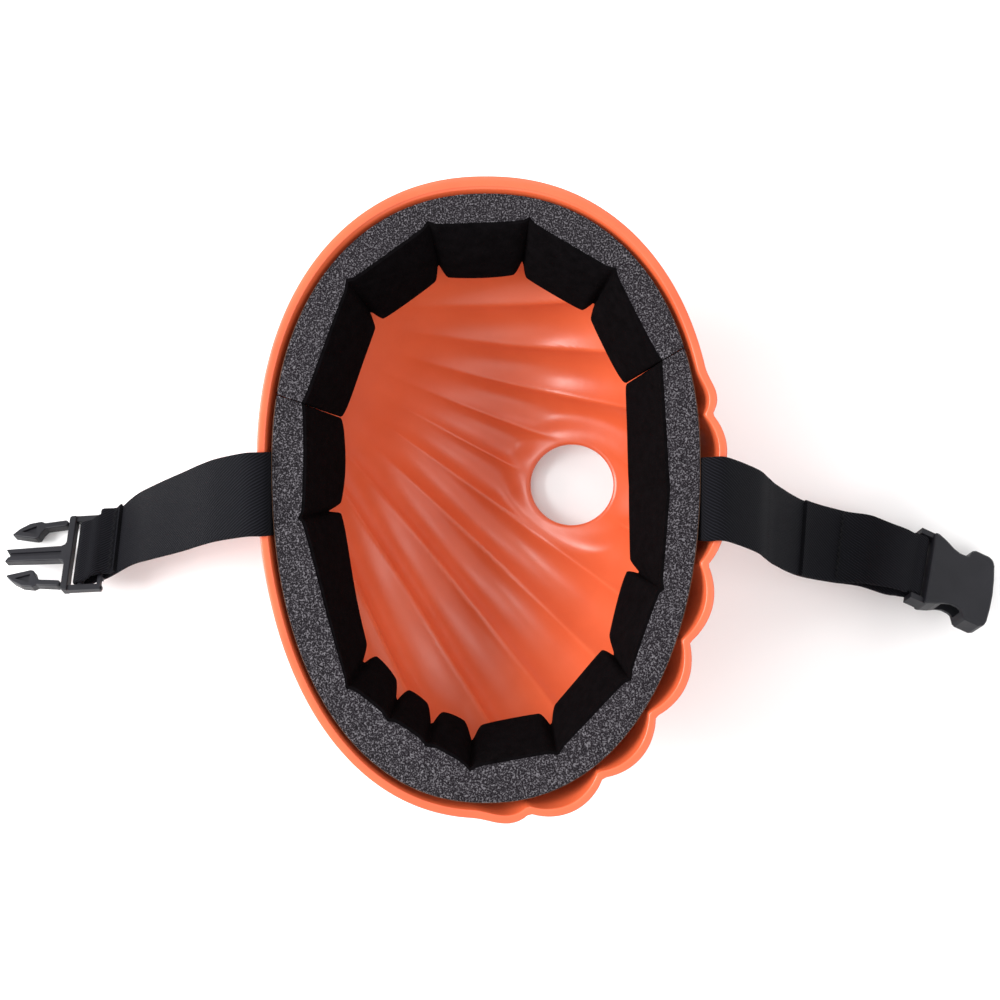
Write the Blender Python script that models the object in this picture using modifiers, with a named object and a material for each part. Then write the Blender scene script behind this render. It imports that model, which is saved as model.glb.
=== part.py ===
"""A padded one-piece face mask, lying face down with its straps spread and its buckle undone.

A moulded oval shell with one round eye opening and a fan of ribs carries two foam strips along its
rim. Each strip has tape behind it and a fabric lining in front. An elastic strap leaves the rim on
each side and ends in one half of a side-release buckle.

+Z is up, from the mask's front to its wearer, +Y is towards the forehead, and +X is to the right as
the wearer sees it. The origin is the middle of the whole object's footprint, on the surface it lies on.
"""

import math

import bmesh
import bpy
from mathutils import Euler, Matrix, Vector

MM = 0.001

# Shell: an egg-shaped rim in plan, and a dome from the lowest point up to it.
RIM_HEIGHT = 90 * MM
DOME_LIFT = 2.6 * MM
HALF_WIDTH = 82 * MM
TOP_REACH = 103 * MM
BOTTOM_REACH = 126.5 * MM
DOME_X = -5 * MM
DOME_Y = 12.7 * MM
EGG_POWER = 2.18
DOME_POWER = 2.2
SIDE_FULLNESS = 1.4
BROW_FULLNESS = 0.9
WALL = 3.0 * MM
RIM_STEP = 0.3 * MM
EYE_X = 28.4 * MM
EYE_Y = 6.0 * MM
EYE_RADIUS = 16.0 * MM
SHELL_SEGMENTS = 96
SHELL_RINGS = 11

# Ribs: straight lobes that fan out from a point past the left brow and die out towards it.
FAN_X = -110 * MM
FAN_Y = 75 * MM
FAN_NEAR = 70 * MM
FAN_FAR = 165 * MM
FIRST_GROOVE = 13.4
LOBE_ANGLE = 7.3
LOBES = 6
FADE_ANGLE = 5.0
LOBE_HEIGHT = 4.5 * MM
LOBE_POWER = 0.8

# Lining pack: tape, foam and fabric, each an inset from the shell's outside, measured level.
TAPE_INSET = 4.95 * MM
TAPE_THICKNESS = 0.25 * MM
FOAM_INSET = 5.5 * MM
FOAM_SIDE = 10.0 * MM
FOAM_BROW = 8.2 * MM
FOAM_CHIN = 11.6 * MM
FOAM_DROP = 1.0 * MM
FOAM_DEPTH = 38 * MM
BROW_DEPTH = 33 * MM
CHIN_DEPTH = 29 * MM
SIDE_SLANT = 0.95
BROW_SLANT = 0.80
LINING_GAP = 0.3 * MM
LINING_THICKNESS = 0.9 * MM
CREASE_PINCH = 3.2 * MM
CREASE_LIFT = 4.0 * MM
CREASE_WIDTH = 2.6
COLUMN_ANGLE = 3.2
UPPER_STRIP = (31.5, 160.5)
LOWER_STRIP = (162.6, 389.6)
UPPER_CREASES = (56.5, 80.0, 103.5, 127.0)
LOWER_CREASES = (196.0, 238.0, 249.0, 258.0, 267.0, 284.0, 304.0, 325.0)

# Straps: woven elastic, clamped between foam and shell, over the rim and down to the surface.
STRAP_WIDTH = 30 * MM
STRAP_AT_BUCKLE = 27 * MM
NARROWING_POWER = 8
STRAP_THICKNESS = 1.5 * MM
ANCHOR_INSET = 3.45 * MM
ANCHOR_THICKNESS = 1.2 * MM
ANCHOR_TOP = 1.5 * MM
ANCHOR_DEPTH = 26 * MM
HINGE_INSET = 4.1 * MM
HINGE_RISE = 1.2 * MM
LEFT_ANCHOR = (176.5, 197.0)
RIGHT_ANCHOR = (342.4, 362.1)
LEFT_HINGE_Y = 2.0 * MM
RIGHT_HINGE_Y = 0.3 * MM
SPLIT_STATION = 9
STRETCH_GAP = 0.3 * MM
LAYER_GAP = 0.3 * MM
LOOP_BULGE = 0.8 * MM
RUN_IN = 10 * MM
SEWN_STEP = 2.2 * MM
LEFT_SKEW = 0.43
LEFT_SEWN_LENGTH = 18 * MM
LEFT_CLOSING = (10.8 * MM, 15.4 * MM)
LEFT_STITCHES = 15.8 * MM
RIGHT_SKEW = -0.23
RIGHT_SEWN_LENGTH = 57 * MM
RIGHT_CLOSING = (6 * MM, 34 * MM)
RIGHT_STITCHES = 36 * MM
THREAD_RADIUS = 0.3 * MM
STITCH_LENGTH = 2.4 * MM

# Side-release buckle. Each half is placed by the middle of the bar that its strap turns round.
BAR_RADIUS = 1.3 * MM
BAR_GAP = 0.35 * MM
TURN_RADIUS = BAR_RADIUS + BAR_GAP + STRAP_THICKNESS / 2
HALF_BUCKLE = 16.5 * MM
HALF_SLOT = 14.1 * MM
MALE_BAR = (-166.0 * MM, -21.5 * MM, 11.6 * MM)
MALE_TURN = (28.0, 8.0, 183.0)
MALE_THICKNESS = 4.4 * MM
RAIL_THICKNESS = 2.8 * MM
CROSSBAR = (4.8 * MM, 7.6 * MM)
REAR_BAR = (-8.6 * MM, -7.0 * MM)
REAR_BAR_THICKNESS = 1.6 * MM
TEETH = 9
TOOTH_SIZE = 1.2 * MM
TONGUE_TIP = 32.6 * MM
HALF_TONGUE = 3.0 * MM
PRONG_ROOT = (9.2 * MM, 13.3 * MM)
PRONG_HALF_WIDTH = 1.3 * MM
FEMALE_BAR = (165.3 * MM, -26.4 * MM, 17.8 * MM)
FEMALE_TURN = (-32.0, 10.0, -24.0)
FEMALE_THICKNESS = 9.0 * MM
FEMALE_REAR = 3.6 * MM
SOCKET_DEPTH = 26 * MM
HALF_SOCKET = 13.6 * MM
SOCKET_HEIGHT = 5.4 * MM

MATERIALS = {
    "shell_orange": ((0.80, 0.17, 0.065), 0.36, 0.0),
    "foam_grey": ((0.060, 0.055, 0.062), 0.95, 0.0),
    "lining_black": ((0.006, 0.005, 0.006), 0.98, 0.0),
    "tape_film": ((0.16, 0.08, 0.05), 0.60, 0.0),
    "elastic_black": ((0.014, 0.014, 0.018), 0.85, 0.0),
    "thread_black": ((0.018, 0.018, 0.020), 0.70, 0.0),
    "buckle_black": ((0.024, 0.023, 0.028), 0.45, 0.0),
}


# --- Scene, materials and general shapes ---------------------------------------------------------


def clear_scene():
    for obj in list(bpy.data.objects):
        bpy.data.objects.remove(obj)


def new_collection(name):
    collection = bpy.data.collections.new(name)
    bpy.context.scene.collection.children.link(collection)
    return collection


def material(name):
    found = bpy.data.materials.get(name)
    if found:
        return found
    colour, roughness, metallic = MATERIALS[name]
    made = bpy.data.materials.new(name)
    made.use_nodes = True
    shader = made.node_tree.nodes["Principled BSDF"]
    shader.inputs["Base Color"].default_value = (*colour, 1.0)
    shader.inputs["Roughness"].default_value = roughness
    shader.inputs["Metallic"].default_value = metallic
    return made


def add_object(name, bm, material_name, collection, parent=None):
    """Makes an object of a bmesh, with its faces pointing out and its round faces smooth."""
    bmesh.ops.recalc_face_normals(bm, faces=bm.faces)
    if bm.calc_volume(signed=True) < 0:
        bmesh.ops.reverse_faces(bm, faces=bm.faces)
    mesh = bpy.data.meshes.new(name)
    bm.to_mesh(mesh)
    bm.free()
    mesh.shade_smooth()
    mesh.set_sharp_from_angle(angle=math.radians(40))
    if material_name:
        mesh.materials.append(material(material_name))
    obj = bpy.data.objects.new(name, mesh)
    collection.objects.link(obj)
    obj.parent = parent
    return obj


def turned(degrees):
    """A rotation by angles about X, then Y, then Z."""
    return Euler([math.radians(d) for d in degrees], "XYZ")


def add_pivot(name, location, turn, collection):
    """An empty on a joint's axis that carries the pieces of one moving part."""
    pivot = bpy.data.objects.new(name, None)
    pivot.empty_display_size = 0.01
    pivot.location = location
    pivot.rotation_euler = turned(turn)
    collection.objects.link(pivot)
    return pivot


def smooth_step(low, high, value):
    share = min(1.0, max(0.0, (value - low) / (high - low)))
    return share * share * (3 - 2 * share)


def mix(first, second, share):
    return first + (second - first) * share


def slab(columns, rows, place):
    """A closed slab, columns by rows by one, whose corners place(u, v, w) puts, each from 0 to 1."""
    bm = bmesh.new()
    bmesh.ops.create_grid(bm, x_segments=columns, y_segments=rows, size=0.5)
    made = bmesh.ops.extrude_face_region(bm, geom=bm.faces[:], use_keep_orig=True)
    far_side = {v for v in made["geom"] if isinstance(v, bmesh.types.BMVert)}
    for vert in bm.verts:
        vert.co = place(vert.co.x + 0.5, vert.co.y + 0.5, 1.0 if vert in far_side else 0.0)
    return bm


def box(bm, centre, size):
    """Adds a box to a bmesh."""
    place = Matrix.Translation(centre) @ Matrix.Diagonal((*size, 1.0))
    bmesh.ops.create_cube(bm, size=1.0, matrix=place)


def rod(bm, centre, radius, length, turn, segments):
    """Adds a cylinder to a bmesh, along Z turned by an angle about X."""
    place = Matrix.Translation(centre) @ Matrix.Rotation(turn, 4, "X")
    bmesh.ops.create_cone(bm, cap_ends=True, segments=segments, radius1=radius, radius2=radius,
                          depth=length, matrix=place)


def shaped_plate(outline, thickness, rise=0.0):
    """A bmesh of a flat outline, extruded to a thickness and centred on a height."""
    bm = bmesh.new()
    face = bm.faces.new([bm.verts.new((x, y, rise - thickness / 2)) for x, y in outline])
    made = bmesh.ops.extrude_face_region(bm, geom=[face], use_keep_orig=True)
    top = [v for v in made["geom"] if isinstance(v, bmesh.types.BMVert)]
    bmesh.ops.translate(bm, verts=top, vec=(0, 0, thickness))
    return bm


def helper(name, bm, collection):
    """A cutter or a piece to be joined, which is hidden and isn't a node."""
    obj = add_object(name, bm, None, collection)
    obj.hide_render = True
    obj.display_type = "WIRE"
    return obj


def boolean(obj, other, operation):
    modifier = obj.modifiers.new(other.name, "BOOLEAN")
    modifier.operation = operation
    modifier.object = other
    other.parent = obj.parent


def bevel(obj, width, segments=2):
    modifier = obj.modifiers.new("edges", "BEVEL")
    modifier.width = width
    modifier.segments = segments
    modifier.limit_method = "ANGLE"
    modifier.angle_limit = math.radians(40)


# --- Shell ---------------------------------------------------------------------------------------


def rim_radius(angle):
    """Distance from the dome's axis to the outside of the rim, at an angle in plan."""
    reach = TOP_REACH if math.sin(angle) > 0 else BOTTOM_REACH
    across = abs(math.cos(angle)) / HALF_WIDTH
    along = abs(math.sin(angle)) / reach
    return (across**EGG_POWER + along**EGG_POWER) ** (-1 / EGG_POWER)


def brow_share(angle):
    """From 0 at the sides and chin to 1 at the brow, where the wall leans back further."""
    return max(0.0, math.sin(angle)) ** 1.5


def fullness(angle):
    return mix(SIDE_FULLNESS, BROW_FULLNESS, brow_share(angle))


def dome_height(angle, share):
    """Height of the plain dome at a share of the rim's radius."""
    left = max(0.0, 1 - share**DOME_POWER)
    return RIM_HEIGHT - (RIM_HEIGHT - DOME_LIFT) * left ** (1 / fullness(angle))


def wall_share(angle, height):
    """Share of the rim's radius at which the plain dome has a height."""
    left = max(0.0, (RIM_HEIGHT - height) / (RIM_HEIGHT - DOME_LIFT))
    return (1 - left ** fullness(angle)) ** (1 / DOME_POWER)


def dome_point(angle, share):
    reach = rim_radius(angle) * share
    x = DOME_X + reach * math.cos(angle)
    y = DOME_Y + reach * math.sin(angle)
    return Vector((x, y, dome_height(angle, share)))


def outward(angle, share):
    """Unit normal of the plain dome, pointing out of the mask's front."""
    step = 0.004
    inner = min(max(share - step, step), 1 - 2 * step)
    up_the_wall = dome_point(angle, inner + 2 * step) - dome_point(angle, inner)
    round_the_wall = dome_point(angle + step, inner) - dome_point(angle - step, inner)
    return round_the_wall.cross(up_the_wall).normalized()


def lobe_bulge(x, y):
    """How far the ribs' lobes stand out of the plain dome at a place in plan."""
    right, down = x - FAN_X, FAN_Y - y
    turn = math.degrees(math.atan2(down, right))
    last_groove = FIRST_GROOVE + LOBES * LOBE_ANGLE
    strength = smooth_step(FAN_NEAR, FAN_FAR, math.hypot(right, down))
    strength *= smooth_step(FIRST_GROOVE - FADE_ANGLE, FIRST_GROOVE, turn)
    strength *= 1 - smooth_step(last_groove, last_groove + FADE_ANGLE, turn)
    wave = abs(math.sin(math.pi * (turn - FIRST_GROOVE) / LOBE_ANGLE))
    return LOBE_HEIGHT * strength * wave**LOBE_POWER


def shell_point(angle, share, inside):
    """A place on the shell's outside or inside. The rim's edge stays level."""
    base = dome_point(angle, share)
    normal = outward(angle, share)
    place = base + normal * (lobe_bulge(base.x, base.y) - (WALL if inside else 0.0))
    place.z = min(place.z, RIM_HEIGHT - RIM_STEP)
    if share > 0.999:
        level = Vector((normal.x, normal.y, 0))
        wall = WALL / level.length if inside else 0.0
        place = base + level.normalized() * (lobe_bulge(base.x, base.y) - wall)
        place.z = RIM_HEIGHT
    return place


def make_shell(parts, helpers):
    bm = bmesh.new()
    bmesh.ops.create_uvsphere(bm, u_segments=SHELL_SEGMENTS, v_segments=2 * SHELL_RINGS, radius=1)
    upper = [v for v in bm.verts if v.co.z > 0.01]
    bmesh.ops.delete(bm, geom=upper, context="VERTS")
    made = bmesh.ops.extrude_face_region(bm, geom=bm.faces[:], use_keep_orig=True)
    inside = {v for v in made["geom"] if isinstance(v, bmesh.types.BMVert)}
    for vert in bm.verts:
        angle = math.atan2(vert.co.y, vert.co.x)
        share = min(1.0, math.hypot(vert.co.x, vert.co.y))
        vert.co = shell_point(angle, share, vert in inside)
    shell = add_object("face_shell", bm, "shell_orange", parts)
    bm = bmesh.new()
    rod(bm, (EYE_X, EYE_Y, 0), EYE_RADIUS, RIM_HEIGHT, 0, segments=40)
    boolean(shell, helper("eye_cutter", bm, helpers), "DIFFERENCE")
    return shell


# --- Tape, foam and lining -----------------------------------------------------------------------


def wall_place(angle, depth, inset):
    """A place beside the shell's wall: a depth down it from the rim, and an inset measured level."""
    slant = mix(SIDE_SLANT, BROW_SLANT, brow_share(angle))
    height = RIM_HEIGHT - depth * slant
    reach = rim_radius(angle) * wall_share(angle, height) - inset
    return Vector((DOME_X + reach * math.cos(angle), DOME_Y + reach * math.sin(angle), height))


def crease(angle_degrees, creases):
    """1 in the bottom of a crease of the foam and 0 away from it."""
    nearest = min(abs(angle_degrees - c) for c in creases)
    return max(0.0, 1 - nearest / CREASE_WIDTH) ** 1.5


def foam_thickness(angle):
    end = FOAM_BROW if math.sin(angle) > 0 else FOAM_CHIN
    return mix(FOAM_SIDE, end, math.sin(angle) ** 2)


def foam_depth(angle):
    """How far down the wall a strip reaches. It is narrower at the brow and the chin."""
    end = BROW_DEPTH if math.sin(angle) > 0 else CHIN_DEPTH
    return mix(FOAM_DEPTH, end, math.sin(angle) ** 2)


def strip(name, span, creases, material_name, parts, insets, drop=FOAM_DROP):
    """One strip along the rim. insets(angle, pinch) gives its back and front as insets from the shell."""
    columns = round((span[1] - span[0]) / COLUMN_ANGLE)

    def place(u, v, w):
        degrees = mix(span[0], span[1], u)
        angle = math.radians(degrees)
        fold = crease(degrees, creases)
        depth = mix(drop, foam_depth(angle) - CREASE_LIFT * fold, v)
        back, front = insets(angle, fold * v)
        return wall_place(angle, depth, mix(back, front, w))

    return add_object(name, slab(columns, 3, place), material_name, parts)


def make_lining_pack(prefix, span, creases, parts):
    def tape(angle, pinch):
        return TAPE_INSET, TAPE_INSET + TAPE_THICKNESS

    def foam(angle, pinch):
        return FOAM_INSET, FOAM_INSET + foam_thickness(angle) - CREASE_PINCH * pinch

    def lining(angle, pinch):
        back = foam(angle, pinch)[1] + LINING_GAP
        return back, back + LINING_THICKNESS

    strip(prefix + "_foam_tape", span, creases, "tape_film", parts, tape, 2 * FOAM_DROP)
    strip(prefix + "_foam", span, creases, "foam_grey", parts, foam)
    strip(prefix + "_lining", span, creases, "lining_black", parts, lining)


# --- Straps --------------------------------------------------------------------------------------


def smooth_path(points, per_span):
    """Points along a smooth curve through the given ones, which are tuples of the same length."""
    ends = [points[0], *points, points[-1]]
    path = []
    for i in range(1, len(ends) - 2):
        values = list(zip(*ends[i - 1 : i + 3]))
        for step in range(per_span):
            t = step / per_span
            weights = (-t + 2 * t**2 - t**3, 2 - 5 * t**2 + 3 * t**3, t + 4 * t**2 - 3 * t**3, t**3 - t**2)
            path.append(tuple(sum(w * v for w, v in zip(weights, four)) / 2 for four in values))
    path.append(tuple(points[-1]))
    return path


def ribbon(name, stations, parts, pivot):
    """A flat strap through stations of (centre, direction across it, width), made about its pivot."""
    count = len(stations) - 1
    centres = [Vector(s[0]) for s in stations]
    normals = []
    for i, (_, across, _) in enumerate(stations):
        along = centres[min(i + 1, count)] - centres[max(i - 1, 0)]
        normals.append(Vector(across).cross(along).normalized())

    def place(u, v, w):
        i = round(u * count)
        _, across, width = stations[i]
        side = Vector(across) * (v - 0.5) * width
        return centres[i] + side + normals[i] * (w - 0.5) * STRAP_THICKNESS - pivot

    obj = add_object(name, slab(count, 2, place), "elastic_black", parts)
    obj.location = pivot
    return obj


def turn_round_bar(bar, out, up, along_bar, steps=8):
    """Stations of the strap where it turns round a buckle's bar, from below it to above it."""
    stations = []
    for i in range(steps + 1):
        angle = math.pi * (i / steps - 0.5)
        place = bar + (out * math.cos(angle) + up * math.sin(angle)) * TURN_RADIUS
        stations.append((place, along_bar, STRAP_AT_BUCKLE))
    return stations


def upper_side(stations, i):
    """Unit vector out of a strap's upper face at a station."""
    centres = stations[max(i - 1, 0)][0], stations[min(i + 1, len(stations) - 1)][0]
    normal = Vector(stations[i][1]).cross(centres[1] - centres[0]).normalized()
    return normal if normal.z > 0 else -normal


def back_along(stations, distance):
    """The station at a distance back from the last one, and the upper side's direction there."""
    for i in range(len(stations) - 1, 0, -1):
        near, far = stations[i], stations[i - 1]
        step = (near[0] - far[0]).length
        if distance <= step or i == 1:
            share = distance / step
            normal = upper_side(stations, i).lerp(upper_side(stations, i - 1), share).normalized()
            across = near[1].lerp(far[1], share).normalized()
            return (near[0].lerp(far[0], share), across, mix(near[2], far[2], share)), normal
        distance -= step


def sewn_end(lower, length, closing):
    """Stations of the strap's end, back from the buckle's bar on top of the strap itself.

    The loop round the bar closes between the two distances in closing.
    """
    stations = []
    count = round(length / SEWN_STEP)
    for n in range(1, count + 1):
        travel = length * n / count
        (centre, across, width), normal = back_along(lower, travel)
        closed = smooth_step(*closing, travel)
        opened = 2 * TURN_RADIUS + 2 * LOOP_BULGE * smooth_step(0.0, RUN_IN / 2, travel)
        lift = mix(opened, STRAP_THICKNESS + LAYER_GAP, closed)
        stations.append((centre + normal * lift, across, width))
    return stations


def add_stitching(name, stations, i, parts):
    """A row of zigzag stitches across a strap at one of its stations."""
    centre, across, width = stations[i]
    normal = upper_side(stations, i)
    along = (stations[i][0] - stations[i - 1][0]).normalized()
    curve = bpy.data.curves.new(name, "CURVE")
    curve.dimensions = "3D"
    curve.bevel_depth = THREAD_RADIUS
    curve.bevel_resolution = 1
    curve.use_fill_caps = True
    count = 2 * int(0.45 * width / STITCH_LENGTH) * 2
    spline = curve.splines.new("POLY")
    spline.points.add(count)
    lift = STRAP_THICKNESS / 2 + 2.5 * THREAD_RADIUS
    for n, point in enumerate(spline.points):
        sideways = (n / count - 0.5) * 0.9 * width
        zigzag = (0.25 if n % 2 else -0.25) * STITCH_LENGTH
        point.co = (*(Vector(across) * sideways + along * zigzag), 1)
    thread = bpy.data.objects.new(name, curve)
    curve.materials.append(material("thread_black"))
    thread.location = centre + normal * lift
    parts.objects.link(thread)


def make_strap(side, route, bar, turn, skew, sewn_length, closing, stitches, parts):
    """One strap: over the rim, round the buckle's bar and back to its sewn end, in two halves.

    route lists (x, y, z, how far its width has turned towards the bar's direction). The strap pulls
    askew on the bar, by skew along it for each unit back from it. The inner half ends at SPLIT_STATION,
    where the elastic is free to stretch.
    """
    frame = turned(turn).to_matrix()
    out, along_bar, up = frame.col[0].copy(), frame.col[1].copy(), frame.col[2].copy()
    if along_bar.y < 0:
        along_bar.negate()
    bar = Vector(bar)
    under = bar - up * TURN_RADIUS
    for back, rise, share in ((RUN_IN, 0.0, 0.94), (RUN_IN / 2, -LOOP_BULGE, 1.0), (0.0, 0.0, 1.0)):
        route = [*route, (*(under + (along_bar * skew - out) * back + up * rise), share)]
    stations = []
    for x, y, z, share in smooth_path(route, 3):
        across = Vector((0, 1, 0)).lerp(along_bar, share).normalized()
        width = mix(STRAP_WIDTH, STRAP_AT_BUCKLE, share**NARROWING_POWER)
        stations.append((Vector((x, y, z)), across, width))
    inner = stations[: SPLIT_STATION + 1]
    outer = stations[SPLIT_STATION:]
    toward = (outer[1][0] - outer[0][0]).normalized()
    outer[0] = (outer[0][0] + toward * STRETCH_GAP, *outer[0][1:])
    end = sewn_end(outer, sewn_length, closing)
    outer = outer[:-1] + turn_round_bar(bar, out, up, along_bar) + end
    ribbon(side + "_strap_inner", inner, parts, inner[0][0])
    ribbon(side + "_strap_outer", outer, parts, outer[0][0])
    from_bar = round(stitches / sewn_length * len(end))
    add_stitching(side + "_stitching", outer, len(outer) - 1 - len(end) + from_bar, parts)


def make_anchor(side, span, parts):
    """The end of a strap that is clamped between the foam's tape and the shell."""

    def place(u, v, w):
        angle = math.radians(mix(span[0], span[1], u))
        inset = ANCHOR_INSET + ANCHOR_THICKNESS * w
        return wall_place(angle, mix(ANCHOR_TOP, ANCHOR_DEPTH, v), inset)

    add_object(side + "_strap_anchor", slab(6, 4, place), "elastic_black", parts)


def make_strap_pair(parts):
    hinge_z = RIM_HEIGHT + HINGE_RISE
    left_route = [
        (DOME_X - HALF_WIDTH + HINGE_INSET, LEFT_HINGE_Y, hinge_z, 0.0),
        (-91.0 * MM, 1.8 * MM, 91.4 * MM, 0.0),
        (-102.5 * MM, 0.0, 81.5 * MM, 0.1),
        (-118.0 * MM, -4.2 * MM, 60.5 * MM, 0.3),
        (-133.5 * MM, -8.4 * MM, 38.5 * MM, 0.6),
        (-145.0 * MM, -11.9 * MM, 19.5 * MM, 0.75),
    ]
    right_route = [
        (DOME_X + HALF_WIDTH - HINGE_INSET, RIGHT_HINGE_Y, hinge_z, 0.0),
        (81.0 * MM, 0.2 * MM, 91.6 * MM, 0.0),
        (93.0 * MM, -3.8 * MM, 80.0 * MM, 0.1),
        (104.0 * MM, -9.6 * MM, 55.0 * MM, 0.2),
        (117.0 * MM, -14.8 * MM, 31.0 * MM, 0.4),
        (132.5 * MM, -18.4 * MM, 18.0 * MM, 0.6),
        (145.0 * MM, -20.8 * MM, 15.0 * MM, 0.75),
    ]
    make_strap("left", left_route, MALE_BAR, MALE_TURN, LEFT_SKEW, LEFT_SEWN_LENGTH, LEFT_CLOSING,
               LEFT_STITCHES, parts)
    make_strap("right", right_route, FEMALE_BAR, FEMALE_TURN, RIGHT_SKEW, RIGHT_SEWN_LENGTH, RIGHT_CLOSING,
               RIGHT_STITCHES, parts)
    make_anchor("left", LEFT_ANCHOR, parts)
    make_anchor("right", RIGHT_ANCHOR, parts)


# --- Buckle --------------------------------------------------------------------------------------


def mirrored(half):
    """A closed outline from the points of its +Y half, whose first and last points may lie on Y = 0."""
    return half + [(x, -y) for x, y in reversed(half) if abs(y) > 0.001 * MM]


def in_mm(points):
    return [(x * MM, y * MM) for x, y in points]


def add_strap_frame(buckle, rear, front, thickness, helpers):
    """Joins two cheeks, from rear to front, and the bar that the strap turns round to a buckle half."""
    width = HALF_BUCKLE - HALF_SLOT
    for side in (1, -1):
        bm = bmesh.new()
        middle = ((rear + front) / 2, side * (HALF_SLOT + width / 2), 0)
        box(bm, middle, (front - rear, width - 0.02 * MM, thickness))
        boolean(buckle, helper(f"{buckle.name}_cheek_{side}", bm, helpers), "UNION")
    bm = bmesh.new()
    rod(bm, (0, 0, 0), BAR_RADIUS, 2 * HALF_SLOT + 1 * MM, math.pi / 2, segments=16)
    boolean(buckle, helper(buckle.name + "_strap_bar", bm, helpers), "UNION")


def make_male_buckle(parts, helpers):
    """The half with the prongs: a frame for the strap, and a grooved tongue between the prongs."""
    pivot = add_pivot("male_buckle_pivot", MALE_BAR, MALE_TURN, parts)
    rear, front = CROSSBAR
    half = [
        (rear, HALF_BUCKLE),
        (front - 0.8 * MM, HALF_BUCKLE),
        (front, HALF_BUCKLE - 0.8 * MM),
        (front, 1.6 * HALF_TONGUE),
        (front + 0.5 * MM, 1.25 * HALF_TONGUE),
        (front + 2 * MM, 1.05 * HALF_TONGUE),
        (TONGUE_TIP, 0.9 * HALF_TONGUE),
        (TONGUE_TIP - 1.8 * MM, 0.0),
    ]
    bm = shaped_plate(mirrored(half), MALE_THICKNESS)
    buckle = add_object("male_buckle", bm, "buckle_black", parts, pivot)
    bevel(buckle, 0.4 * MM)
    add_strap_frame(buckle, REAR_BAR[0], rear + 1 * MM, RAIL_THICKNESS, helpers)
    bm = bmesh.new()
    middle = (REAR_BAR[0] + REAR_BAR[1]) / 2
    size = (REAR_BAR[1] - REAR_BAR[0], 2 * HALF_SLOT + 1 * MM, REAR_BAR_THICKNESS)
    box(bm, (middle + 0.1 * MM, 0, 0), size)
    boolean(buckle, helper("male_rear_bar", bm, helpers), "UNION")
    bm = bmesh.new()
    for i in range(TEETH):
        across = HALF_BUCKLE * (2 * i / (TEETH - 1) - 1) * 0.95
        box(bm, (REAR_BAR[0], across, 0), (TOOTH_SIZE, TOOTH_SIZE, 0.8 * REAR_BAR_THICKNESS))
    boolean(buckle, helper("grip_teeth", bm, helpers), "UNION")
    for side in (1, -1):
        bm = bmesh.new()
        middle = (front + 1.5 * MM + TONGUE_TIP + 5 * MM) / 2
        length = TONGUE_TIP + 5 * MM - front - 1.5 * MM
        box(bm, (middle, 0, side * MALE_THICKNESS / 2), (length, 0.55 * HALF_TONGUE, 2.2 * MM))
        boolean(buckle, helper(f"tongue_groove_{side}", bm, helpers), "DIFFERENCE")
    make_prong("upper_prong", -1, pivot, parts, helpers)
    make_prong("lower_prong", 1, pivot, parts, helpers)


def make_prong(name, side, frame, parts, helpers):
    """A springy prong, made about the root that it flexes at."""
    root_x, root_y = PRONG_ROOT
    pivot = add_pivot(name + "_pivot", (root_x, side * root_y, 0), (0, 0, 0), parts)
    pivot.parent = frame
    turn = [math.radians(90 + 22.5 * i) for i in range(1, 8)]
    root = [(PRONG_HALF_WIDTH * math.cos(a), PRONG_HALF_WIDTH * math.sin(a)) for a in turn]
    outline = root + in_mm([
        (0, -1.3), (7.8, -2.0), (9.4, -3.7), (10.4, -6.0), (11.8, -6.3), (21.0, -4.6), (21.8, -4.1),
        (18.8, -1.5), (14.8, 0.6), (10.2, 1.3), (8.4, 0.5), (0, 1.3),
    ])
    outline = [(x, side * y) for x, y in outline]
    bm = shaped_plate(outline, MALE_THICKNESS)
    prong = add_object(name, bm, "buckle_black", parts, pivot)
    bevel(prong, 0.4 * MM)
    pocket = [(x, side * y) for x, y in in_mm([(11.6, -4.4), (18.0, -2.9), (11.9, -0.8)])]
    for face in (1, -1):
        bm = shaped_plate(pocket, 2.4 * MM, face * MALE_THICKNESS / 2)
        boolean(prong, helper(f"{name}_pocket_{face}", bm, helpers), "DIFFERENCE")


def make_female_buckle(parts, helpers):
    """The half with the socket: its waist is narrower than the socket, so the sides are open there."""
    pivot = add_pivot("female_buckle_pivot", FEMALE_BAR, FEMALE_TURN, parts)
    half = [(FEMALE_REAR, HALF_BUCKLE)] + in_mm([
        (5.4, 16.3), (9.0, 14.9), (12.6, 12.9), (15.4, 12.0), (18.2, 12.1), (19.4, 12.6), (20.2, 14.0),
        (21.0, 15.7), (22.2, 16.4), (28.6, 16.4), (30.6, 15.4), (31.6, 13.0), (32.3, 6.5), (32.6, 0),
    ])
    bm = shaped_plate(mirrored(half), FEMALE_THICKNESS)
    buckle = add_object("female_buckle", bm, "buckle_black", parts, pivot)
    bevel(buckle, 0.9 * MM)
    add_strap_frame(buckle, -1.9 * MM, 4.7 * MM, 5.6 * MM, helpers)
    bm = bmesh.new()
    box(bm, (32.6 * MM, 0, 0), (2 * SOCKET_DEPTH, 2 * HALF_SOCKET, SOCKET_HEIGHT))
    boolean(buckle, helper("socket", bm, helpers), "DIFFERENCE")


def main():
    clear_scene()
    parts = new_collection("padded_face_mask")
    helpers = new_collection("cutters")
    make_shell(parts, helpers)
    make_lining_pack("upper", UPPER_STRIP, UPPER_CREASES, parts)
    make_lining_pack("lower", LOWER_STRIP, LOWER_CREASES, parts)
    make_strap_pair(parts)
    make_male_buckle(parts, helpers)
    make_female_buckle(parts, helpers)


main()
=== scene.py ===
"""The looks of the padded face mask: a finely moulded shell, foam, lining, woven straps and plastic.

Lengths are in metres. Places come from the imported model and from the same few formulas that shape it.
"""

import math

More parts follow.
